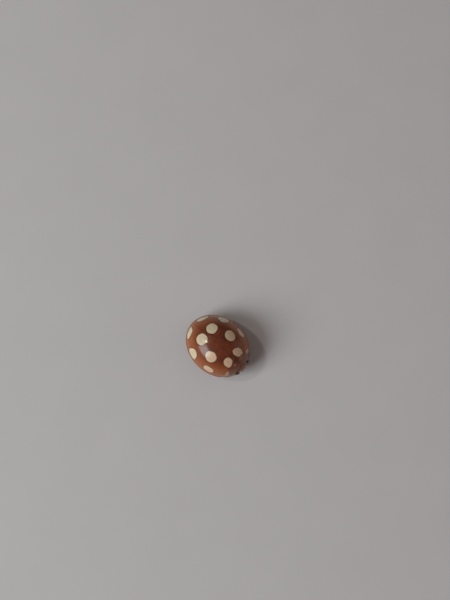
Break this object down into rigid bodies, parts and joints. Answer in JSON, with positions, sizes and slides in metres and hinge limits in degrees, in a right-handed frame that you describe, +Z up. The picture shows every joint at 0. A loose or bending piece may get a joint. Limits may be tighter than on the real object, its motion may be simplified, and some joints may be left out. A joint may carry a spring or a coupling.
{
  "type": "ladybird beetle",
  "caption": "Life-size still ladybird: domed glossy chestnut wing cases with round cream spots, standing at rest with legs and feelers tucked in.",
  "frame": {"origin": "on the floor, under the middle of the body's length and width", "axes": "+Y toward the tail (the head looks toward -Y), +Z up, +X toward the beetle's left side"},
  "size_m": [0.004, 0.0048, 0.0026],
  "materials": {
    "elytron": "glossy chestnut shell with round cream spots",
    "pronotum": "glossy chestnut shell, paler at the hind corners",
    "scutellum": "glossy chestnut",
    "prothorax": "satin brown underside",
    "thorax": "satin brown underside",
    "abdomen": "satin amber-brown underside",
    "head": "smooth amber-brown",
    "eye": "glossy black",
    "labrum": "smooth amber-brown",
    "palp": "satin amber",
    "antenna": "satin amber",
    "femur": "smooth amber",
    "tibia": "smooth amber",
    "tarsus": "satin amber with short pads"
  },
  "bodies": {
    "root": {"head": "head", "labrum": "labrum", "eye_left": "eye", "eye_right": "eye", "palp_left": "palp", "palp_right": "palp", "antenna_left": "antenna", "antenna_right": "antenna", "pronotum": "pronotum", "scutellum": "scutellum", "elytron_left": "elytron", "elytron_right": "elytron", "prothorax": "prothorax", "thorax": "thorax", "abdomen": "abdomen", "front_femur_left": "femur", "front_femur_right": "femur", "front_tibia_left": "tibia", "front_tibia_right": "tibia", "front_tarsus_left": "tarsus", "front_tarsus_right": "tarsus", "middle_femur_left": "femur", "middle_femur_right": "femur", "middle_tibia_left": "tibia", "middle_tibia_right": "tibia", "middle_tarsus_left": "tarsus", "middle_tarsus_right": "tarsus", "hind_femur_left": "femur", "hind_femur_right": "femur", "hind_tibia_left": "tibia", "hind_tibia_right": "tibia", "hind_tarsus_left": "tarsus", "hind_tarsus_right": "tarsus"}
  },
  "joints": []
}
